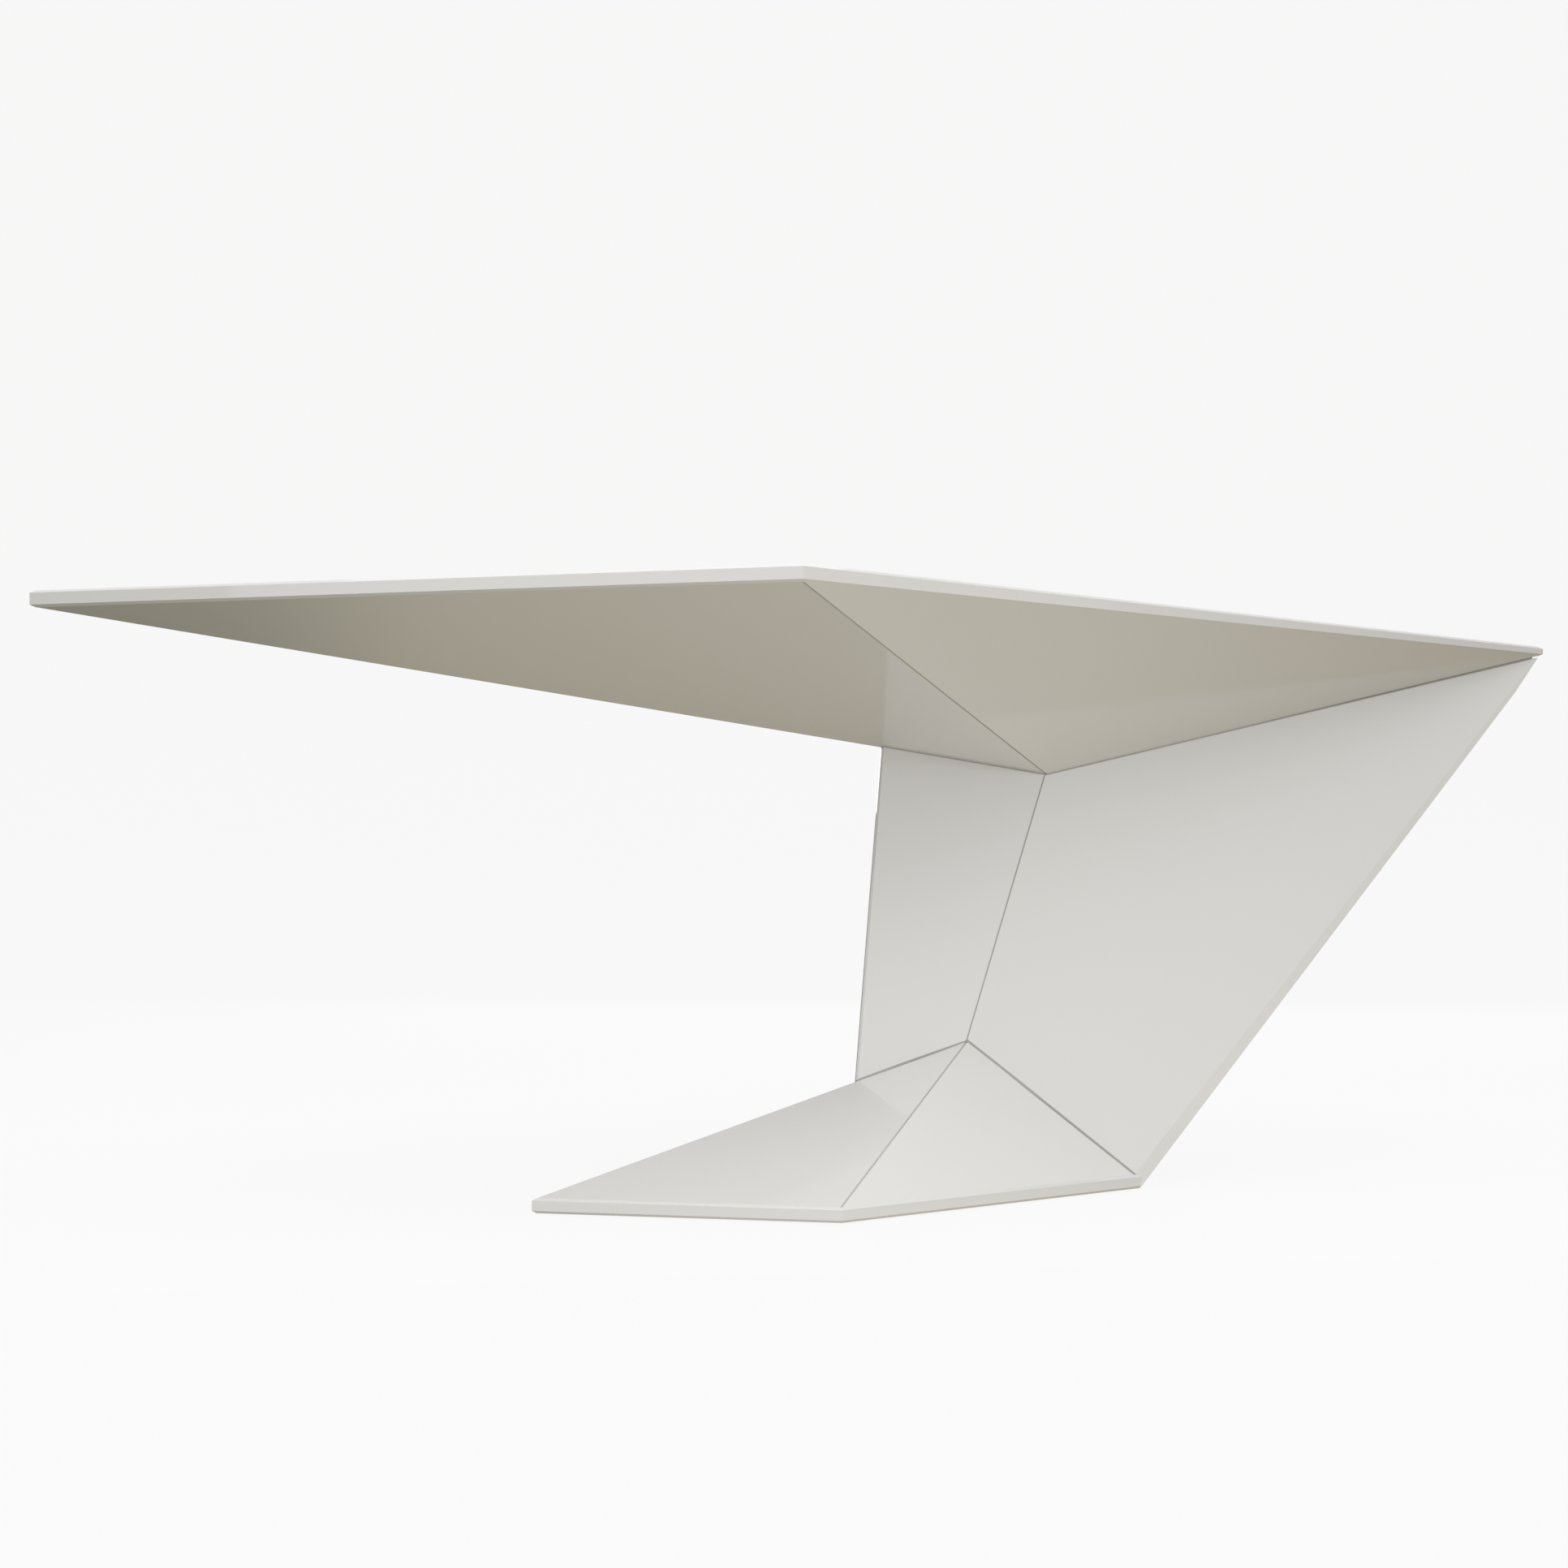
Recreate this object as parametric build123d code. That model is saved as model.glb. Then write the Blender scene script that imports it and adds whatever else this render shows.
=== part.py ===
from build123d import *
import os
from math import cos, radians, tan

# A free-standing faceted desk. A flat worktop has an underside that falls in four facets to a keel,
# a hollow leaning wall carries it at one side, and a four-faceted base holds steel ballast.
# Millimetres, +Z up. Corner places are (right, back) from the worktop's front corner.

# Worktop
HEIGHT = 740.0
FRONT_CORNER = (0.0, 0.0)
LEFT_CORNER = (-915.0, 204.0)
RIGHT_CORNER = (1072.0, 765.0)
BACK_CORNER = (-40.0, 905.0)
SHEET = 10.0
EDGE = 20.0
EDGE_AT_RIGHT = 13.5
EDGE_STRIP_WIDTH = 42.0
CHAMFER = 3.0
KEEL = (321.0, 461.0)
KEEL_DROP = 203.0

# Base
BASE_FRONT = (45.0, 120.0)
BASE_LEFT = (-320.0, 203.0)
BASE_RIGHT = (438.0, 435.0)
BASE_BACK = (170.0, 760.0)
BASE_RIGHT_OVERRUN = 30.0
FOOT_CORNER_BACK = 7.0
SLAB = 18.0
PEAK = (210.0, 374.0)
PEAK_RISE = 176.0

# Panels and the thin grey seams between them
PANEL = 10.0
SEAM = 2.0
SEAM_RECESS = 0.8
SEAM_END = 1.5 * PANEL
SEAM_BEHIND_WALL = 1.0
PEAK_CORE = 9.0

# Wall
FOLD_BEFORE_KEEL = 5.0
WALL_FOOT_LEFT = (68.0, 329.0)
WALL_HEAD_LEFT = 104.0
WALL_LEFT_EDGE = 22.0
WALL_LEFT_EDGE_SPLAY = 12.0
WALL_RIGHT_EDGE = 18.0
EDGE_BAR = 42.0

# Steel frame
POST = 40.0
POST_WALL = 4.0
POST_CLEARANCE = 1.5
POST_BEHIND_PANEL = 6.0
WALL_DEPTH_PER_PANEL = 2.4
WALL_DEPTH_PER_POST = 1.6
PLATE_SIDE = 150.0
HEAD_PLATE = 8.0
FOOT_PLATE = 12.0
FOOT_BOLTS = (90.0, 90.0)
HEAD_SCREWS = (126.0, 90.0)
RIB = 8.0
RIB_CLEARANCE = 4.0
RIB_FLANGE = 6.0
RIB_FLANGE_WIDTH = 38.0
RIB_TIP_DEPTH = 16.0
RIB_START = 16.0
RIB_TO_EDGE_STRIP = 2.0
RIB_SCREWS = 3
RIB_LAST_SCREW = 110.0
BALLAST = 20.0
BALLAST_PLATES = 2
BALLAST_CLEARANCE = 3.0

# Fasteners
SCREW_RADIUS = 3.0
SCREW_HEAD_RADIUS = 5.5
SCREW_HEAD = 3.5
SCREW_HEAD_ROOM = 0.5
INSERT_RADIUS = 5.0
INSERT_LENGTH = 8.0
BOLT_RADIUS = 5.0
BOLT_HEAD_RADIUS = 8.5
BOLT_HEAD = 6.5
BOLT_SHORT_OF_SLAB = 5.0
SCREW_SHORT_OF_INSERT = 1.0
DRILL_PAST = 1.0
FIT = 0.05

# Levelling glides
GLIDE_FROM_CORNER = 90.0
GLIDE_STANDS_OUT = 2.0
GLIDE_PAD = 5.0
GLIDE_PAD_RADIUS = 15.0
GLIDE_POCKET_GAP = 0.3
GLIDE_POCKET_CLEARANCE = 2.0
GLIDE_STUD_RADIUS = 4.0
GLIDE_TRAVEL = 10.0
GLIDE_THREAD_HELD = 12.0
GLIDE_PAD_CHAMFER = 1.0
SLEEVE_RADIUS = 7.0
SLEEVE = 20.0

BIG = 6000.0

os.makedirs("parts", exist_ok=True)

MIDDLE = Vector((LEFT_CORNER[0] + RIGHT_CORNER[0]) / 2, (FRONT_CORNER[1] + BACK_CORNER[1]) / 2, 0)
UP = Vector(0, 0, 1)
SLAB_BOTTOM = GLIDE_STANDS_OUT
SLAB_TOP = SLAB_BOTTOM + SLAB
SHEET_BOTTOM = HEIGHT - SHEET
# The back leaves slope towards the edges, so the wall is deeper than the post and two panels.
WALL_DEPTH = WALL_DEPTH_PER_PANEL * PANEL + WALL_DEPTH_PER_POST * POST + POST_BEHIND_PANEL


# ---------------------------------------------------------------- planes and solids cut from them
def at(place, z):
    """The point over a plan place, in the part's own frame."""
    return Vector(place[0], place[1], z) - MIDDLE


def plane_through(a, b, c, inside):
    """The plane through three points, with its normal away from the point inside."""
    normal = (b - a).cross(c - a).normalized()
    if normal.dot(inside - a) > 0:
        normal = normal * -1
    return Plane(origin=a, z_dir=normal)


def facing(origin, normal):
    return Plane(origin=origin, z_dir=normal)


def shifted(plane, distance):
    """The plane moved along its normal."""
    return facing(plane.origin + plane.z_dir * distance, plane.z_dir)


def back_of(plane, thickness):
    """The inner face of a panel whose outer face is the plane."""
    return facing(plane.origin - plane.z_dir * thickness, plane.z_dir * -1)


def mitre(own, other, point, half_gap):
    """Bounds a panel at a ridge: halfway between its face and the next face, less half the seam."""
    normal = (other.z_dir - own.z_dir).normalized()
    return facing(point - normal * half_gap, normal)


def below(z):
    return facing(Vector(0, 0, z), UP)


def above(z):
    return facing(Vector(0, 0, z), UP * -1)


def carve(planes, stock=None):
    """What lies behind every plane."""
    solid = stock if stock is not None else Box(BIG, BIG, BIG)
    for plane in planes:
        solid = split(solid, bisect_by=plane, keep=Keep.BOTTOM)
    return largest(solid)


def largest(shape):
    return max(shape.solids(), key=lambda piece: piece.volume)


def line_meets(plane, start, end):
    """Where the line through two points crosses the plane."""
    run = end - start
    share = plane.z_dir.dot(plane.origin - start) / plane.z_dir.dot(run)
    return start + run * share


def inset_corner(before, corner, after, inset):
    """A corner of a plan outline that runs anticlockwise, moved in from both its edges."""
    into = Vector(corner[0] - before[0], corner[1] - before[1], 0).normalized()
    out = Vector(after[0] - corner[0], after[1] - corner[1], 0).normalized()
    in_from_first = Vector(-into.Y, into.X, 0)
    in_from_second = Vector(-out.Y, out.X, 0)
    bisector = (in_from_first + in_from_second).normalized()
    moved = bisector * (inset / bisector.dot(in_from_first))
    return (corner[0] + moved.X, corner[1] + moved.Y)


def inset_outline(outline, inset):
    count = len(outline)
    return [inset_corner(outline[i - 1], outline[i], outline[(i + 1) % count], inset) for i in range(count)]


def rod(radius, start, end):
    """A round bar from one point to another."""
    axis = end - start
    return extrude(Plane(origin=start, z_dir=axis.normalized()) * Circle(radius), amount=axis.length)


def tube(outer, inner, start, end):
    return rod(outer, start, end) - rod(inner, start, end)


def save(name, shape):
    """One STEP file for a node; a list becomes a group of separate solids."""
    shape = Compound(children=list(shape)) if isinstance(shape, (list, tuple)) else shape
    export_step(shape, f"parts/{name}.step")


# ---------------------------------------------------------------- the three bodies' faces
TOP_NAMES = ["front_right", "back_right", "back_left", "front_left"]
TOP_OUTLINE = [FRONT_CORNER, RIGHT_CORNER, BACK_CORNER, LEFT_CORNER]
TOP_EDGES = [EDGE, EDGE_AT_RIGHT, EDGE, EDGE]
top_inset = inset_outline(TOP_OUTLINE, CHAMFER)
top_rim = [at(place, HEIGHT - edge) for place, edge in zip(top_inset, TOP_EDGES)]
keel = at(KEEL, HEIGHT - KEEL_DROP)
inside_top = at(KEEL, HEIGHT - KEEL_DROP / 2)
soffit = [plane_through(top_rim[i], top_rim[(i + 1) % 4], keel, inside_top) for i in range(4)]

BASE_NAMES = ["front_right", "back_right", "back_left", "front_left"]
right_run = (at(BASE_RIGHT, 0) - at(BASE_FRONT, 0)).normalized()
slab_right = (BASE_RIGHT[0] + right_run.X * BASE_RIGHT_OVERRUN,
              BASE_RIGHT[1] + right_run.Y * BASE_RIGHT_OVERRUN)
BASE_OUTLINE = [BASE_FRONT, slab_right, BASE_BACK, BASE_LEFT]
base_inset = inset_outline(BASE_OUTLINE, CHAMFER)
base_rim = [at(place, SLAB_TOP) for place in base_inset]
right_edge_in = Vector(-right_run.Y, right_run.X, 0)
foot_corner = at(BASE_RIGHT, SLAB_TOP) + right_edge_in * CHAMFER - right_run * FOOT_CORNER_BACK
base_rim[1] = foot_corner
peak = at(PEAK, SLAB_TOP + PEAK_RISE)
inside_base = at(PEAK, SLAB_TOP + PEAK_RISE / 2)
slopes = [plane_through(base_rim[i], base_rim[(i + 1) % 4], peak, inside_base) for i in range(4)]

head_fold = keel + (top_rim[0] - keel).normalized() * FOLD_BEFORE_KEEL
head_corner = top_rim[1]
wall_inside = (head_fold + foot_corner + head_corner) * (1 / 3) + Vector(-WALL_DEPTH / 4, WALL_DEPTH / 4, 0)
wall_right = plane_through(head_fold, head_corner, foot_corner, wall_inside)
foot_fold = line_meets(wall_right, base_rim[0], peak)
foot_left = line_meets(slopes[3], at(WALL_FOOT_LEFT, 0), at(WALL_FOOT_LEFT, HEIGHT))
wall_left = plane_through(head_fold, foot_fold, foot_left, wall_inside)
crease_run = wall_left.z_dir.cross(soffit[3].z_dir)
head_left = head_fold + crease_run * ((at((WALL_HEAD_LEFT, 0), 0).X - head_fold.X) / crease_run.X)

backward = (wall_right.z_dir + wall_left.z_dir).normalized() * -1
back_middle = (head_fold + foot_fold) * 0.5 + backward * WALL_DEPTH
left_edge_run = (head_left - foot_left).normalized()
left_back = wall_left.z_dir * -WALL_LEFT_EDGE
left_across = left_edge_run.cross(wall_left.z_dir).normalized()
if left_across.X < 0:
    left_across = left_across * -1
left_splayed = left_back + left_across * (WALL_LEFT_EDGE * tan(radians(WALL_LEFT_EDGE_SPLAY)))
edge_left = plane_through(head_left, foot_left, head_left + left_splayed, back_middle)
toe = at(BASE_RIGHT, SLAB_BOTTOM)
tip = at(RIGHT_CORNER, HEIGHT - EDGE_AT_RIGHT)
heel = toe - wall_right.z_dir * WALL_RIGHT_EDGE
right_brow = plane_through(foot_corner, toe, head_corner, wall_inside)
edge_right = plane_through(toe, tip, heel, wall_inside)
wall_back_right = plane_through(heel, tip, back_middle, foot_fold)
wall_back_left = plane_through(head_left + left_splayed, foot_left + left_splayed, back_middle, foot_fold)
back_fold_run = wall_back_right.z_dir.cross(wall_back_left.z_dir).normalized()
wall_faces = [wall_right, right_brow, wall_left, wall_back_left, wall_back_right, edge_left, edge_right]


def top_envelope(grow=0.0):
    """The space that the worktop and its underside fill."""
    return carve([shifted(face, grow) for face in soffit] + [below(HEIGHT)])


def base_envelope(grow=0.0):
    return carve([shifted(face, grow) for face in slopes] + [above(-SLAB)])


def wall_section(shrink):
    """The wall's whole cross-section between worktop and base, drawn in from its faces."""
    ends = [below(HEIGHT - EDGE_AT_RIGHT), above(SLAB_TOP)]
    return carve([shifted(face, -shrink) for face in wall_faces] + ends)


# ---------------------------------------------------------------- steel frame
post_run = (head_fold - foot_fold).normalized()
post_centre = (head_fold + foot_fold) * 0.5 + backward * (PANEL + POST / 2 + POST_BEHIND_PANEL)
foot_plate_bottom = SLAB_TOP + BALLAST * BALLAST_PLATES
post_bottom_z = foot_plate_bottom + FOOT_PLATE
post_top_z = SHEET_BOTTOM - HEAD_PLATE


def on_post(z):
    """The post's centre line at a height."""
    return post_centre + post_run * ((z - post_centre.Z) / post_run.Z)


def post_bar(side):
    """An endless square bar along the post, cut level at both ends."""
    across_post = Plane(origin=post_centre, x_dir=post_run.cross(backward), z_dir=post_run)
    return extrude(across_post * Rectangle(side, side), amount=HEIGHT, both=True)


def pattern(spacing, centre_z, z):
    """The four corners of a rectangle of fixings round the post, at a height."""
    centre = on_post(centre_z)
    wide, deep = spacing[0] / 2, spacing[1] / 2
    return [Vector(centre.X + x * wide, centre.Y + y * deep, z) for x in (-1, 1) for y in (-1, 1)]


def square_plate(centre_z, bottom, thickness):
    centre = on_post(centre_z)
    return Pos(centre.X, centre.Y, bottom + thickness / 2) * Box(PLATE_SIDE, PLATE_SIDE, thickness)


def spine_post():
    return carve([above(post_bottom_z), below(post_top_z)], post_bar(POST) - post_bar(POST - 2 * POST_WALL))


def drilled(plate, bars):
    for bar in bars:
        plate = plate - bar
    return largest(plate)


def rib_start():
    """The ribs leave the post halfway up the underside."""
    return on_post((keel.Z + SHEET_BOTTOM) / 2)


def rib_direction(i):
    """From the post to a corner of the worktop, level."""
    run = top_rim[i] - rib_start()
    return Vector(run.X, run.Y, 0).normalized()


def rib_side(i):
    return rib_direction(i).cross(UP)


def rib_reach(i):
    """How far out the rib still has its least depth."""
    run = top_rim[i] - rib_start()
    level = Vector(run.X, run.Y, 0).length
    rise = top_rim[i].Z - keel.Z
    floor_lift = (PANEL + RIB_CLEARANCE) / min(abs(soffit[i].z_dir.Z), abs(soffit[i - 1].z_dir.Z))
    usable = SHEET_BOTTOM - RIB_TIP_DEPTH - keel.Z - floor_lift
    return level * usable / rise


def rib_screw_places(i):
    """Midway between the web and the edge of the flange, from the head plate to the tip."""
    first = PLATE_SIDE
    step = (rib_reach(i) - RIB_LAST_SCREW - first) / (RIB_SCREWS - 1)
    aside = (RIB + RIB_FLANGE_WIDTH) / 4
    line = rib_start() + rib_side(i) * aside + UP * (SHEET_BOTTOM - rib_start().Z)
    return [line + rib_direction(i) * (first + step * n) for n in range(RIB_SCREWS)]


def slice_along(i, width):
    """The two upright faces of a slice of this width along a rib's middle."""
    side = rib_side(i)
    aside = side * (width / 2)
    return [facing(rib_start() + aside, side), facing(rib_start() - aside, side * -1)]


def rib(i):
    """A welded tee on edge: its web follows the underside, its flange carries the sheet."""
    out = rib_direction(i)
    room = [shifted(face, -(PANEL + RIB_CLEARANCE)) for face in soffit]
    room += [shifted(edge_faces(j)[0], -(EDGE_STRIP_WIDTH + RIB_TO_EDGE_STRIP)) for j in range(4)]
    room += [facing(rib_start() + out * rib_reach(i), out), facing(rib_start() + out * RIB_START, out * -1)]
    room += [below(SHEET_BOTTOM)]
    web = carve(room + slice_along(i, RIB))
    flange = carve(room + slice_along(i, RIB_FLANGE_WIDTH) + [above(SHEET_BOTTOM - RIB_FLANGE)])
    tee = largest(web + flange - square_plate(post_top_z, post_top_z, HEAD_PLATE) - post_bar(POST))
    heads = [rod(SCREW_HEAD_RADIUS + SCREW_HEAD_ROOM, place - UP * (SCREW_HEAD + SCREW_HEAD_ROOM), place)
             for place in pattern(HEAD_SCREWS, post_top_z, post_top_z)]
    tee = drilled(tee, heads)
    lift = UP * (RIB_FLANGE + DRILL_PAST)
    return drilled(tee, [rod(SCREW_RADIUS + FIT, place - lift, place) for place in rib_screw_places(i)])


def steel_fill(bottom, thickness):
    """A level plate that just fits between the base's slopes at its own top."""
    room = [shifted(face, -(PANEL + BALLAST_CLEARANCE)) for face in slopes]
    core = carve(room + [below(bottom + thickness), above(bottom)])
    return extrude(core.faces().sort_by(Axis.Z)[-1], amount=-thickness, dir=UP)


def foot_bolt_holes():
    places = pattern(FOOT_BOLTS, post_bottom_z, 0)
    return [rod(BOLT_RADIUS + FIT, place, place + UP * HEIGHT) for place in places]


def ballast_plate(n):
    bottom = SLAB_TOP + BALLAST * n
    sleeves = [rod(SLEEVE_RADIUS + BALLAST_CLEARANCE, place, place + UP * HEIGHT) for place in glide_places()]
    return drilled(steel_fill(bottom, BALLAST), foot_bolt_holes() + sleeves)


def foot_plate():
    return drilled(steel_fill(foot_plate_bottom, FOOT_PLATE), foot_bolt_holes())


def head_plate():
    plate = square_plate(post_top_z, post_top_z, HEAD_PLATE)
    return drilled(plate, [rod(SCREW_RADIUS + FIT, place, place + UP * HEIGHT)
                           for place in pattern(HEAD_SCREWS, post_top_z, 0)])


# ---------------------------------------------------------------- fasteners
def button_screw(place, grip):
    """A button-head screw up through a steel part of this thickness into an insert."""
    start = place - UP * (grip + SCREW_HEAD)
    head = rod(SCREW_HEAD_RADIUS, start, start + UP * SCREW_HEAD)
    return largest(head + rod(SCREW_RADIUS, start, place + UP * (INSERT_LENGTH - SCREW_SHORT_OF_INSERT)))


def insert(place):
    return largest(tube(INSERT_RADIUS, SCREW_RADIUS + FIT, place, place + UP * INSERT_LENGTH))


def foot_bolt(place):
    """A hexagon bolt down through the foot plate and the ballast."""
    hexagon = extrude(Plane(place) * RegularPolygon(BOLT_HEAD_RADIUS, 6), amount=BOLT_HEAD)
    shank = rod(BOLT_RADIUS, place - UP * (FOOT_PLATE + BALLAST * BALLAST_PLATES - BOLT_SHORT_OF_SLAB), place)
    return largest(hexagon + shank)


# ---------------------------------------------------------------- worktop
def worktop_screw_places():
    on_ribs = [place for i in range(4) for place in rib_screw_places(i)]
    return on_ribs + pattern(HEAD_SCREWS, post_top_z, SHEET_BOTTOM)


def worktop_sheet():
    outline = [at(place, SHEET_BOTTOM) for place in TOP_OUTLINE]
    sheet = extrude(make_face(Polyline(*outline, close=True)), amount=SHEET, dir=UP)
    sheet = chamfer(sheet.faces().sort_by(Axis.Z)[-1].edges(), CHAMFER)
    return drilled(sheet, [rod(INSERT_RADIUS, place, place + UP * INSERT_LENGTH)
                           for place in worktop_screw_places()])


def edge_faces(i):
    """Outer face, lower chamfer and level underside of one edge strip."""
    j = (i + 1) % 4
    start, end = at(TOP_OUTLINE[i], HEIGHT), at(TOP_OUTLINE[j], HEIGHT)
    outer = facing(start, (end - start).cross(UP).normalized())
    lower_start = at(TOP_OUTLINE[i], HEIGHT - TOP_EDGES[i] + CHAMFER)
    chamfer_face = plane_through(top_rim[i], top_rim[j], lower_start, at(KEEL, HEIGHT))
    inward = outer.z_dir * -EDGE_STRIP_WIDTH
    underside = plane_through(top_rim[i], top_rim[j], top_rim[i] + inward, at(KEEL, HEIGHT))
    return outer, chamfer_face, underside


def worktop_edge(i):
    outer, chamfer_face, underside = edge_faces(i)
    j = (i + 1) % 4
    before, after = edge_faces(i - 1)[0], edge_faces(j)[0]
    start, end = at(TOP_OUTLINE[i], HEIGHT), at(TOP_OUTLINE[j], HEIGHT)
    ends = [mitre(outer, before, start, 0), mitre(outer, after, end, 0)]
    faces = [outer, chamfer_face, underside, back_of(outer, EDGE_STRIP_WIDTH), below(SHEET_BOTTOM)]
    return carve(faces + ends)


def soffit_panel(i):
    """One facet of the underside, mitred at its ridges and cut round the post."""
    face, before, after = soffit[i], soffit[i - 1], soffit[(i + 1) % 4]
    underside = edge_faces(i)[2]
    under_strip = facing(underside.origin, underside.z_dir * -1)
    ridges = [mitre(face, before, keel, SEAM / 2), mitre(face, after, keel, SEAM / 2)]
    panel = carve([face, back_of(face, PANEL), under_strip] + ridges)
    return largest(panel - post_bar(POST + 2 * POST_CLEARANCE))


def seam_start(i, apex, fold):
    """How far from the apex a ridge seam starts; the front one runs on to just behind the wall."""
    return (fold - apex).length - SEAM_BEHIND_WALL if i == 0 else SEAM_END


def ridge_seam(first, second, apex, corner, start, depth=PANEL):
    """The grey strip in a ridge: between two mitred panels, a little below their faces."""
    outward = (first.z_dir + second.z_dir).normalized()
    run = (corner - apex).normalized()
    sides = [mitre(first, second, apex, -SEAM / 2), mitre(second, first, apex, -SEAM / 2)]
    faces = [facing(apex - outward * SEAM_RECESS, outward), facing(apex - outward * depth, outward * -1)]
    ends = [facing(apex + run * start, run * -1), facing(corner, run)]
    return carve(sides + faces + ends)


def soffit_seam(i):
    """The seam between facet i-1 and facet i, up to the edge strips."""
    seam = ridge_seam(soffit[i - 1], soffit[i], keel, top_rim[i], seam_start(i, keel, head_fold))
    undersides = [edge_faces(i - 1)[2], edge_faces(i)[2]]
    seam = carve([facing(face.origin, face.z_dir * -1) for face in undersides], seam)
    across_keel = [soffit_panel((i + 1) % 4), soffit_panel((i + 2) % 4)]
    return drilled(seam, across_keel + [post_bar(POST + 2 * POST_CLEARANCE)])


# ---------------------------------------------------------------- wall
def between_bodies(piece):
    """Trims a wall piece to the worktop's underside and the base's slopes, less the thin gaskets."""
    return largest(piece - top_envelope(SEAM) - base_envelope(SEAM))


def wall_panel(face, beside, bar_face, fold_point, planes=()):
    """One leaf of the wall, from its fold to the bar that closes the edge."""
    ends = [below(HEIGHT - EDGE_AT_RIGHT - SEAM), above(SLAB_TOP + SEAM)]
    sides = [mitre(face, beside, fold_point, SEAM / 2), bar_face]
    leaf = carve([face, back_of(face, PANEL)] + sides + ends + list(planes))
    return between_bodies(largest(leaf - post_bar(POST + 2 * FIT)))


def edge_bar(bar_face, planes=()):
    """The solid lipping that closes one side of the wall, outside the bar face, from slab to worktop edge."""
    ends = [below(HEIGHT - EDGE_AT_RIGHT), above(SLAB_TOP), back_of(bar_face, 0)]
    return between_bodies(carve(wall_faces + ends + list(planes)))


def bar_face(face, edge_start, edge_end):
    """Square to a leaf of the wall and parallel to its edge, one bar's width in."""
    across = (edge_end - edge_start).cross(face.z_dir).normalized()
    if across.dot(wall_inside - edge_start) > 0:
        across = across * -1
    return facing(edge_start - across * EDGE_BAR, across)


def left_chamfer():
    """The narrow chamfer down the wall's left edge."""
    slant = (wall_left.z_dir + edge_left.z_dir).normalized()
    return facing(head_left - slant * (CHAMFER * cos(radians(45))), slant)


def fold_seam(first, second, fold_point, run):
    """The grey strip down a fold of the wall."""
    outward = (first.z_dir + second.z_dir).normalized()
    sides = [mitre(first, second, fold_point, -SEAM / 2), mitre(second, first, fold_point, -SEAM / 2)]
    faces = [facing(fold_point - outward * SEAM_RECESS, outward),
             facing(fold_point - outward * PANEL, outward * -1)]
    ends = [below(HEIGHT - EDGE_AT_RIGHT - SEAM), above(SLAB_TOP + SEAM)]
    return between_bodies(carve(sides + faces + ends))


def head_gasket():
    ring = wall_section(SEAM_RECESS) & top_envelope(SEAM)
    return largest(ring - top_envelope() - post_bar(POST + 2 * POST_CLEARANCE))


def foot_gasket():
    ring = wall_section(SEAM_RECESS) & base_envelope(SEAM)
    return largest(ring - base_envelope() - post_bar(POST + 2 * POST_CLEARANCE))


# ---------------------------------------------------------------- base
def glide_places():
    """Under each corner of the base, in from the corner towards the peak."""
    places = []
    for corner in [BASE_FRONT, BASE_RIGHT, BASE_BACK, BASE_LEFT]:
        towards = Vector(PEAK[0] - corner[0], PEAK[1] - corner[1], 0).normalized()
        places.append(at(corner, 0) + towards * GLIDE_FROM_CORNER)
    return places


def base_slab():
    """The base's floor plate, with the wall's corner carried on down through its edge."""
    outline = [at(place, SLAB_BOTTOM) for place in BASE_OUTLINE]
    slab = extrude(make_face(Polyline(*outline, close=True)), amount=SLAB, dir=UP)
    rims = slab.faces().sort_by(Axis.Z)[0].edges() + slab.faces().sort_by(Axis.Z)[-1].edges()
    wall_corner = carve(wall_faces + [above(SLAB_BOTTOM + CHAMFER), below(SLAB_TOP)])
    slab = carve([edge_right], chamfer(rims, CHAMFER)) + wall_corner
    pocket_top = GLIDE_PAD + GLIDE_POCKET_GAP
    pocket_radius = GLIDE_PAD_RADIUS + GLIDE_POCKET_CLEARANCE
    bars = [rod(pocket_radius, place, place + UP * pocket_top) for place in glide_places()]
    bars += [rod(SLEEVE_RADIUS, place, place + UP * HEIGHT) for place in glide_places()]
    return drilled(slab, bars)


def base_panel(i):
    """One slope of the base, mitred at its ridges and relieved at the peak, under the wall only."""
    face, before, after = slopes[i], slopes[i - 1], slopes[(i + 1) % 4]
    ridges = [mitre(face, before, peak, SEAM / 2), mitre(face, after, peak, SEAM / 2)]
    panel = carve([face, back_of(face, PANEL), above(SLAB_TOP)] + ridges)
    under_wall = [shifted(wall_right, -SEAM), shifted(wall_left, -SEAM)]
    core = carve(under_wall, rod(PEAK_CORE, at(PEAK, SLAB_TOP), at(PEAK, HEIGHT)))
    return largest(panel - core - post_bar(POST + 2 * POST_CLEARANCE))


def base_seam(i):
    ridge = ridge_seam(slopes[i - 1], slopes[i], peak, base_rim[i], seam_start(i, peak, foot_fold))
    seam = carve([above(SLAB_TOP)], ridge)
    return largest(seam - post_bar(POST + 2 * POST_CLEARANCE))


def glide_sleeve(place):
    bottom = place + UP * (GLIDE_PAD + GLIDE_POCKET_GAP)
    return largest(tube(SLEEVE_RADIUS, GLIDE_STUD_RADIUS + FIT, bottom, bottom + UP * SLEEVE))


def glide(place):
    """A round pad on a threaded stud."""
    pad = rod(GLIDE_PAD_RADIUS, place, place + UP * GLIDE_PAD)
    pad = chamfer(pad.faces().sort_by(Axis.Z)[0].edges(), GLIDE_PAD_CHAMFER)
    stud_top = GLIDE_PAD + GLIDE_POCKET_GAP + GLIDE_THREAD_HELD + GLIDE_TRAVEL
    return largest(pad + rod(GLIDE_STUD_RADIUS, place, place + UP * stud_top))


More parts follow.
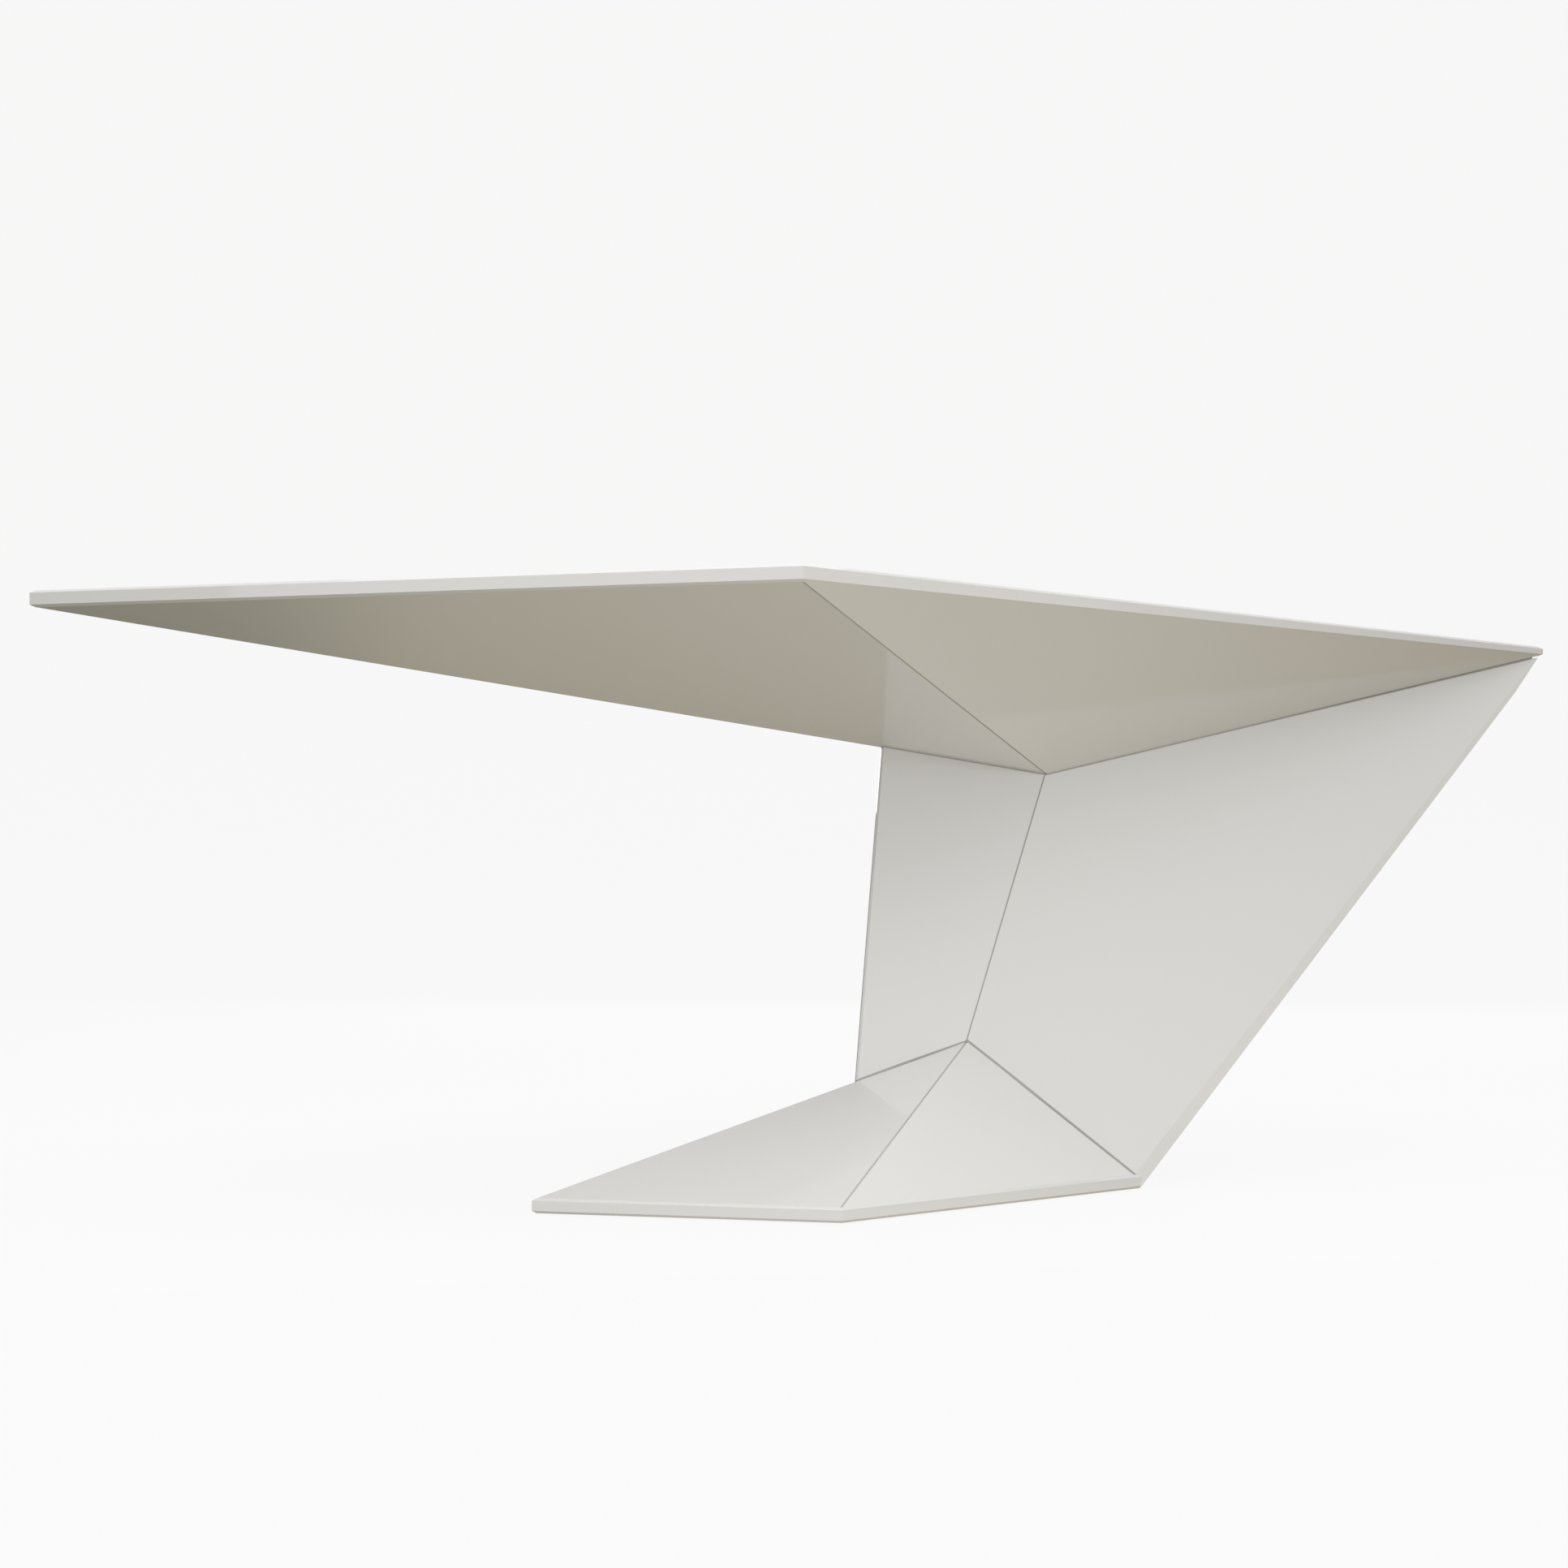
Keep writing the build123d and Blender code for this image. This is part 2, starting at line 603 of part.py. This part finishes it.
# ---------------------------------------------------------------- write the parts
save("worktop_sheet", worktop_sheet())
for i, name in enumerate(TOP_NAMES):
    save(f"worktop_edge_{name}", worktop_edge(i))
    save(f"soffit_{name}", soffit_panel(i))
save("soffit_seams", [soffit_seam(i) for i in range(4)])

right_bar_face = bar_face(wall_right, toe, tip)
left_bar_face = bar_face(wall_left, foot_left, head_left)
behind_front = shifted(wall_right, -PANEL)
save("wall_front_right", wall_panel(wall_right, wall_left, right_bar_face, head_fold))
save("wall_front_left", wall_panel(wall_left, wall_right, left_bar_face, head_fold))
save("wall_back_right", wall_panel(wall_back_right, wall_back_left, right_bar_face, back_middle,
                                   [behind_front]))
save("wall_back_left", wall_panel(wall_back_left, wall_back_right, left_bar_face, back_middle))
save("wall_edge_right", edge_bar(right_bar_face))
save("wall_edge_left", edge_bar(left_bar_face, [left_chamfer()]))
save("wall_fold_seams", [fold_seam(wall_right, wall_left, head_fold, post_run),
                         fold_seam(wall_back_right, wall_back_left, back_middle, back_fold_run)])
save("wall_head_gasket", head_gasket())
save("wall_foot_gasket", foot_gasket())

save("base_slab", base_slab())
for i, name in enumerate(BASE_NAMES):
    save(f"base_{name}", base_panel(i))
save("base_seams", [base_seam(i) for i in range(4)])

save("spine_post", spine_post())
save("head_plate", head_plate())
save("foot_plate", foot_plate())
for i, name in enumerate(["front", "right", "back", "left"]):
    save(f"worktop_rib_{name}", rib(i))
for n in range(BALLAST_PLATES):
    save(f"ballast_plate_{n + 1}", ballast_plate(n))
save("worktop_inserts", [insert(place) for place in worktop_screw_places()])
save("worktop_screws", [button_screw(place, RIB_FLANGE) for i in range(4) for place in rib_screw_places(i)])
save("head_plate_screws", [button_screw(place, HEAD_PLATE)
                           for place in pattern(HEAD_SCREWS, post_top_z, SHEET_BOTTOM)])
save("foot_plate_bolts", [foot_bolt(place) for place in pattern(FOOT_BOLTS, post_bottom_z, post_bottom_z)])
save("glide_sleeves", [glide_sleeve(place) for place in glide_places()])
for name, place in zip(["front", "right", "back", "left"], glide_places()):
    save(f"{name}_glide", glide(place))
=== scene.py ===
from math import cos, pi, radians, sin

import bmesh
import bpy
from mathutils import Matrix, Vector


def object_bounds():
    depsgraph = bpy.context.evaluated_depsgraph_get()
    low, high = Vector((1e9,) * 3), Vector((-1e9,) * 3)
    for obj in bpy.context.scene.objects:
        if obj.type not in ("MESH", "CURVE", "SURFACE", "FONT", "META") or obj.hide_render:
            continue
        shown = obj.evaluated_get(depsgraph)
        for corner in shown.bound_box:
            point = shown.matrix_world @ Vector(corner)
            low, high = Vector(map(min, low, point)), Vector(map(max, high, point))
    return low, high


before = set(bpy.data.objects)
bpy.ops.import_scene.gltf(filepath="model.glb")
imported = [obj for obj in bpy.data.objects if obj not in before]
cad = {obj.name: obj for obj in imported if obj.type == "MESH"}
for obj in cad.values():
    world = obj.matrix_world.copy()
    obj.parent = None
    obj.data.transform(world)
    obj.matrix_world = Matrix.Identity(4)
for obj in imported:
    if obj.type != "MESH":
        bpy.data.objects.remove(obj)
cad_low, cad_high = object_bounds()


# ------------------------------------------------------------------ lacquered panels
# The worktop, wall and base are board panels under a sprayed off-white lacquer, rubbed to a satin gloss.
# The film is even, with a faint orange peel and slow drifts in sheen and tone. Its clear coat is given a
# higher index than a real one, so that mirror images show more strongly in it.
MIX_AMOUNT, MIX_FIRST, MIX_SECOND, MIX_COLOUR = 0, 6, 7, 2


class Maths:
    """A shader socket that takes part in Python expressions."""

    def __init__(self, tree, socket):
        self.tree, self.socket = tree, socket

    def join(self, operation, first, second):
        node = self.tree.nodes.new("ShaderNodeMath")
        node.operation = operation
        for place, value in zip(node.inputs, (first, second)):
            if isinstance(value, Maths):
                self.tree.links.new(value.socket, place)
            else:
                place.default_value = value
        return Maths(self.tree, node.outputs[0])

    def __add__(self, other):
        return self.join("ADD", self, other)

    def __mul__(self, other):
        return self.join("MULTIPLY", self, other)

    def __rsub__(self, other):
        return self.join("SUBTRACT", other, self)

    __radd__ = __add__
    __rmul__ = __mul__


class Finish:
    """A material and the one method that adds its nodes."""

    def __init__(self, name):
        self.material = bpy.data.materials.new(name)
        self.material.use_nodes = True
        self.tree = self.material.node_tree
        self.shader = self.tree.nodes["Principled BSDF"]
        self.place = self.node("ShaderNodeTexCoord").outputs["Object"]

    def node(self, kind, settings=None, **sockets):
        node = self.tree.nodes.new(kind)
        for name, value in (settings or {}).items():
            setattr(node, name, value)
        for name, value in sockets.items():
            self.feed(node.inputs[name.replace("_", " ")], value)
        return node

    def feed(self, socket, value):
        if isinstance(value, Maths):
            value = value.socket
        if isinstance(value, bpy.types.NodeSocket):
            self.tree.links.new(value, socket)
        else:
            socket.default_value = value

    def noise(self, scale, detail=2.0, roughness=0.5):
        made = self.node("ShaderNodeTexNoise", Vector=self.place, Scale=scale, Detail=detail,
                         Roughness=roughness)
        return Maths(self.tree, made.outputs["Fac"])

    def blend(self, amount, dark, light):
        made = self.node("ShaderNodeMix", {"data_type": "RGBA"})
        self.feed(made.inputs[MIX_AMOUNT], amount)
        self.feed(made.inputs[MIX_FIRST], (*dark, 1.0))
        self.feed(made.inputs[MIX_SECOND], (*light, 1.0))
        return made.outputs[MIX_COLOUR]

    def bump(self, height, depth, strength=1.0):
        made = self.node("ShaderNodeBump", Height=height, Distance=depth, Strength=strength)
        self.feed(self.shader.inputs["Normal"], made.outputs["Normal"])

    def wear(self, name, value):
        """Sets a socket of the shader, to one value or to what changes over the surface."""
        self.feed(self.shader.inputs[name], value)


def coat(node_names, finish):
    """Gives CAD nodes a material through their own slots."""
    for name in node_names:
        slots = cad[name].material_slots
        if not slots:
            cad[name].data.materials.append(finish.material)
        for slot in slots:
            slot.material = finish.material


LACQUERED = ("worktop_sheet", "worktop_edge", "soffit_front", "soffit_back", "wall_front", "wall_back",
             "wall_edge", "base_slab", "base_front", "base_back")
LACQUER_LIGHT = (0.785, 0.775, 0.763)
LACQUER_DEEP = (0.760, 0.750, 0.738)
LACQUER_ROUGHNESS = 0.30
SHEEN_DRIFT = 0.06
PEEL_SHARE = 0.6
WAVE_SHARE = 6.0
LACQUER_RELIEF = 0.000012
LACQUER_IOR = 1.5
COAT_IOR = 1.9
COAT_ROUGHNESS = 0.05

# Here and below, a grain is a noise's scale and its detail.
CLOUD_GRAIN = (1.7, 3.0)
SHEEN_GRAIN = (5.5, 4.0)
PEEL_GRAIN = (620.0, 2.0)
WAVE_GRAIN = (3.2, 1.0)

lacquer = Finish("off_white_lacquer")
cloud = lacquer.noise(*CLOUD_GRAIN)
sheen = lacquer.noise(*SHEEN_GRAIN)
orange_peel = lacquer.noise(*PEEL_GRAIN)
slow_wave = lacquer.noise(*WAVE_GRAIN)
lacquer.wear("Base Color", lacquer.blend(cloud, LACQUER_DEEP, LACQUER_LIGHT))
lacquer.wear("Roughness", LACQUER_ROUGHNESS + SHEEN_DRIFT * sheen)
lacquer.bump(orange_peel * PEEL_SHARE + slow_wave * WAVE_SHARE, LACQUER_RELIEF)
lacquer.wear("IOR", LACQUER_IOR)
lacquer.wear("Coat Weight", 1.0)
lacquer.wear("Coat IOR", COAT_IOR)
lacquer.wear("Coat Roughness", COAT_ROUGHNESS)
coat([name for name in cad if name.startswith(LACQUERED)], lacquer)

# ------------------------------------------------------------------ grey seams
# Flexible grey sealant lies in every inner crease, a little below the panels' faces.
# It is matt, faintly pitted, and gathers some dust.
SEALANT_DARK = (0.42, 0.41, 0.38)
SEALANT_LIGHT = (0.50, 0.49, 0.46)
SEALANT_ROUGHNESS = 0.66
DUST_DULLING = 0.2
PIT_DEPTH = 0.00008
PIT_STRENGTH = 0.6
DUST_GRAIN = (38.0, 4.0)
PIT_GRAIN = (900.0, 3.0)

sealant = Finish("grey_sealant")
dust = sealant.noise(*DUST_GRAIN)
pits = sealant.noise(*PIT_GRAIN)
sealant.wear("Base Color", sealant.blend(dust, SEALANT_DARK, SEALANT_LIGHT))
sealant.wear("Roughness", SEALANT_ROUGHNESS + DUST_DULLING * dust)
sealant.bump(pits, PIT_DEPTH, PIT_STRENGTH)
coat(["soffit_seams", "base_seams", "wall_fold_seams", "wall_head_gasket", "wall_foot_gasket"], sealant)

# ------------------------------------------------------------------ steel frame
# The post, its head and foot plates and the worktop ribs are welded steel, inside the closed shell.
# They wear a dark powder coat with a fine, even texture.
POWDER_DARK = (0.018, 0.018, 0.020)
POWDER_LIGHT = (0.034, 0.034, 0.037)
POWDER_ROUGHNESS = 0.48
HANDLING_DULLING = 0.14
POWDER_RELIEF = 0.00006
POWDER_STRENGTH = 0.7
POWDER_GRAIN = (1400.0, 3.0)
HANDLING_GRAIN = (9.0, 4.0)

powder = Finish("dark_powder_coat")
grains = powder.noise(*POWDER_GRAIN)
handling = powder.noise(*HANDLING_GRAIN)
powder.wear("Base Color", powder.blend(handling, POWDER_DARK, POWDER_LIGHT))
powder.wear("Roughness", POWDER_ROUGHNESS + HANDLING_DULLING * handling)
powder.bump(grains, POWDER_RELIEF, POWDER_STRENGTH)
coat(["spine_post", "head_plate", "foot_plate"] + [name for name in cad if name.startswith("worktop_rib")],
     powder)

# ------------------------------------------------------------------ ballast plates
# Two flame-cut mill plates lie one on the other on the slab, to weigh the base down.
# They are oiled against rust: blue-black scale with browner, duller patches.
SCALE_BLUE = (0.030, 0.033, 0.038)
SCALE_BROWN = (0.072, 0.052, 0.038)
SCALE_ROUGHNESS = 0.38
PATCH_DULLING = 0.3
PATCH_COVER = 0.5
SCALE_RELIEF = 0.0003
SCALE_STRENGTH = 0.5
PATCH_GRAIN = (14.0, 6.0)
PATCH_COARSENESS = 0.65

scale = Finish("oiled_mill_scale")
patches = scale.noise(*PATCH_GRAIN, PATCH_COARSENESS)
scale.wear("Base Color", scale.blend(patches, SCALE_BLUE, SCALE_BROWN))
scale.wear("Roughness", SCALE_ROUGHNESS + PATCH_DULLING * patches)
scale.wear("Metallic", 1.0 - PATCH_COVER * patches)
scale.bump(patches, SCALE_RELIEF, SCALE_STRENGTH)
coat(["ballast_plate_1", "ballast_plate_2"], scale)

# ------------------------------------------------------------------ screws, bolts and sleeves
# Rolled and turned steel under bright zinc, which shows a soft, cloudy spangle. The screws hold ribs and
# head plate to the worktop, the bolts hold the foot plate to the ballast, and the sleeves take the glides.
ZINC_DARK = (0.50, 0.51, 0.53)
ZINC_LIGHT = (0.66, 0.67, 0.68)
ZINC_ROUGHNESS = 0.24
SPANGLE_DULLING = 0.16
ZINC_RELIEF = 0.00003
ZINC_STRENGTH = 0.5
SPANGLE_GRAIN = (120.0, 3.0)
ZINC_GRAIN = (1800.0, 2.0)

zinc = Finish("bright_zinc")
spangle = zinc.noise(*SPANGLE_GRAIN)
zinc.wear("Base Color", zinc.blend(spangle, ZINC_DARK, ZINC_LIGHT))
zinc.wear("Roughness", ZINC_ROUGHNESS + SPANGLE_DULLING * spangle)
zinc.bump(zinc.noise(*ZINC_GRAIN), ZINC_RELIEF, ZINC_STRENGTH)
zinc.wear("Metallic", 1.0)
coat(["worktop_screws", "head_plate_screws", "foot_plate_bolts", "glide_sleeves"], zinc)

# ------------------------------------------------------------------ threaded inserts
# Machined brass bushes, set into the underside of the worktop sheet for its screws.
# They have tarnished a little.
BRASS_DULL = (0.42, 0.28, 0.10)
BRASS_BRIGHT = (0.68, 0.50, 0.22)
BRASS_ROUGHNESS = 0.26
TARNISH_DULLING = 0.22
TARNISH_GRAIN = (160.0, 4.0)

brass = Finish("machined_brass")
tarnish = brass.noise(*TARNISH_GRAIN)
brass.wear("Base Color", brass.blend(tarnish, BRASS_DULL, BRASS_BRIGHT))
brass.wear("Roughness", BRASS_ROUGHNESS + TARNISH_DULLING * tarnish)
brass.wear("Metallic", 1.0)
coat(["worktop_inserts"], brass)

# ------------------------------------------------------------------ levelling glides
# A turned steel stud on a round pad, one near each corner of the base.
# Each rides on its own body and slides straight down out of its pocket in the slab.
STEEL_DARK = (0.36, 0.37, 0.38)
STEEL_LIGHT = (0.52, 0.53, 0.54)
STEEL_ROUGHNESS = 0.28
TURNING_DULLING = 0.2
STEEL_RELIEF = 0.00004
STEEL_STRENGTH = 0.5
TURNING_GRAIN = (240.0, 4.0)

turned_steel = Finish("turned_steel")
turning = turned_steel.noise(*TURNING_GRAIN)
turned_steel.wear("Base Color", turned_steel.blend(turning, STEEL_DARK, STEEL_LIGHT))
turned_steel.wear("Roughness", STEEL_ROUGHNESS + TURNING_DULLING * turning)
turned_steel.bump(turning, STEEL_RELIEF, STEEL_STRENGTH)
turned_steel.wear("Metallic", 1.0)
coat([name for name in cad if name.endswith("_glide")], turned_steel)

# ------------------------------------------------------------------ studio floor
# A round sheet of pale paper that curves up on every side, far from the desk, so that no horizon shows.
# It glows evenly by itself. Bounce, mirror and shadow rays pass it by.
FLOOR_RADIUS = 8.0
SWEEP_RADIUS = 3.0
SWEEP_STEPS = 16
WALL_TOP = 12.0
ROUND_STEPS = 64
PAPER_DEEP = (0.050, 0.050, 0.050)
PAPER_LIGHT = (0.055, 0.055, 0.055)
PAPER_GLOW = 0.905
PAPER_ROUGHNESS = 0.9
PAPER_GRAIN = (0.8, 2.0)

profile = [(FLOOR_RADIUS, 0.0)]
for step in range(1, SWEEP_STEPS + 1):
    turn = pi / 2 * step / SWEEP_STEPS
    profile.append((FLOOR_RADIUS + SWEEP_RADIUS * sin(turn), SWEEP_RADIUS * (1 - cos(turn))))
profile.append((FLOOR_RADIUS + SWEEP_RADIUS, WALL_TOP))
sweep = bpy.data.meshes.new("studio_floor")
sheet = bmesh.new()
bearings = [2 * pi * k / ROUND_STEPS for k in range(ROUND_STEPS)]
rings = [[sheet.verts.new((radius * cos(bearing), radius * sin(bearing), z)) for bearing in bearings]
         for radius, z in profile]
sheet.faces.new(rings[0])
for inner, outer in zip(rings, rings[1:]):
    for k in range(ROUND_STEPS):
        sheet.faces.new((inner[k - 1], outer[k - 1], outer[k], inner[k]))
for face in sheet.faces:
    face.smooth = True
sheet.to_mesh(sweep)
sheet.free()
floor = bpy.data.objects.new("studio_floor", sweep)
bpy.context.scene.collection.objects.link(floor)
paper = Finish("studio_paper")
paper.wear("Base Color", paper.blend(paper.noise(*PAPER_GRAIN), PAPER_DEEP, PAPER_LIGHT))
paper.wear("Roughness", PAPER_ROUGHNESS)
paper.wear("Specular IOR Level", 0.0)
paper.wear("Emission Color", (1.0, 1.0, 1.0, 1.0))
paper.wear("Emission Strength", PAPER_GLOW)
sweep.materials.append(paper.material)
floor.visible_diffuse = False
floor.visible_glossy = False
floor.visible_shadow = False

# ------------------------------------------------------------------ soft lights
# Large rectangular panels overhead and high in front, with fills in front, to the right and behind.
# Each is aimed at the desk's middle. Places and sizes are in metres, and powers in watts.
OVERHEAD_LIGHT = ("overhead_light", (0.4, -0.6, 4.2), (5.0, 5.0), 62.0)
HIGH_FRONT_LIGHT = ("high_front_light", (-0.5, -3.0, 4.6), (4.0, 3.0), 66.0)
FRONT_FILL = ("front_fill", (-1.4, -5.4, 1.6), (6.0, 3.0), 26.0)
RIGHT_FILL = ("right_fill", (4.4, -2.4, 1.3), (3.0, 2.4), 4.0)
BACK_FILL = ("back_fill", (0.8, 5.0, 2.2), (5.0, 3.0), 60.0)
FLOOR_BOUNCE = ("floor_bounce", (0.1, -0.65, 0.006), (2.2, 1.6), 5.2)
middle = (cad_low + cad_high) / 2


def soft_panel(name, place, size, watts):
    lamp = bpy.data.lights.new(name, "AREA")
    lamp.shape = "RECTANGLE"
    lamp.size, lamp.size_y, lamp.energy = *size, watts
    holder = bpy.data.objects.new(name, lamp)
    holder.location = place
    holder.rotation_euler = (middle - Vector(place)).to_track_quat("-Z", "Y").to_euler()
    bpy.context.scene.collection.objects.link(holder)
    return holder


for panel in (OVERHEAD_LIGHT, HIGH_FRONT_LIGHT, FRONT_FILL, RIGHT_FILL, BACK_FILL):
    soft_panel(*panel)

# The paper's bounce is one more panel, low in front of the desk, that no camera or mirror image shows.
bounce = soft_panel(*FLOOR_BOUNCE)
bounce.visible_camera = False
bounce.visible_glossy = False

# ------------------------------------------------------------------ surround
# The room beyond the paper is pale above. Its floor is warm and dim, and dimmer still to the left,
# and the glossy underside reflects it.
ROOM_ABOVE = (1.0, 1.0, 1.0, 1.0)
ROOM_LEVEL = (0.45, 0.44, 0.41, 1.0)
ROOM_FLOOR = (0.54, 0.475, 0.30, 1.0)
ROOM_FLOOR_LEFT = (0.05, 0.06, 0.03, 1.0)
ROOM_STRENGTH = 0.60
LEFT_FLOOR_EDGE = (-0.31, -0.21)
FLOOR_TO_ROOM = (-0.45, -0.05)
ROOM_TO_SKY = (-0.05, 0.30)


def world_node(kind, *links, **settings):
    node = room.nodes.new(kind)
    for name, value in settings.items():
        setattr(node, name, value)
    for place, source in links:
        if isinstance(source, bpy.types.NodeSocket):
            room.links.new(source, node.inputs[place])
        else:
            node.inputs[place].default_value = source
    return node


def step_between(value, span):
    return world_node("ShaderNodeMapRange", ("Value", value), ("From Min", span[0]), ("From Max", span[1]),
                      interpolation_type="SMOOTHSTEP").outputs["Result"]


def mixed(amount, first, second):
    node = world_node("ShaderNodeMix", (MIX_AMOUNT, amount), (MIX_FIRST, first), (MIX_SECOND, second),
                      data_type="RGBA")
    return node.outputs[MIX_COLOUR]


surround = bpy.data.worlds.new("pale_surround")
surround.use_nodes = True
room = surround.node_tree
towards = world_node("ShaderNodeSeparateXYZ", (0, room.nodes.new("ShaderNodeTexCoord").outputs["Generated"]))
floor_tone = mixed(step_between(towards.outputs["X"], LEFT_FLOOR_EDGE), ROOM_FLOOR_LEFT, ROOM_FLOOR)
low_room = mixed(step_between(towards.outputs["Z"], FLOOR_TO_ROOM), floor_tone, ROOM_LEVEL)
whole_room = mixed(step_between(towards.outputs["Z"], ROOM_TO_SKY), low_room, ROOM_ABOVE)
room.links.new(whole_room, room.nodes["Background"].inputs["Color"])
room.nodes["Background"].inputs["Strength"].default_value = ROOM_STRENGTH
bpy.context.scene.world = surround
bpy.context.scene.view_settings.view_transform = "Standard"

# ------------------------------------------------------------------ camera
# It stands level, square to the desk's length, well below the worktop, so that the underside shows.
# A small upward shift frames the desk without tilting its upright lines.
CAMERA_PLACE = (-0.09976, -2.84408, 0.36249)
LENS = 50.31
SENSOR = 36.0
FRAMING_SHIFT = 0.0797
lens = bpy.data.cameras.new("camera")
lens.lens, lens.sensor_width, lens.shift_y = LENS, SENSOR, FRAMING_SHIFT
camera = bpy.data.objects.new("camera", lens)
camera.location = CAMERA_PLACE
camera.rotation_euler = (radians(90.0), 0.0, 0.0)
bpy.context.scene.collection.objects.link(camera)
bpy.context.scene.camera = camera
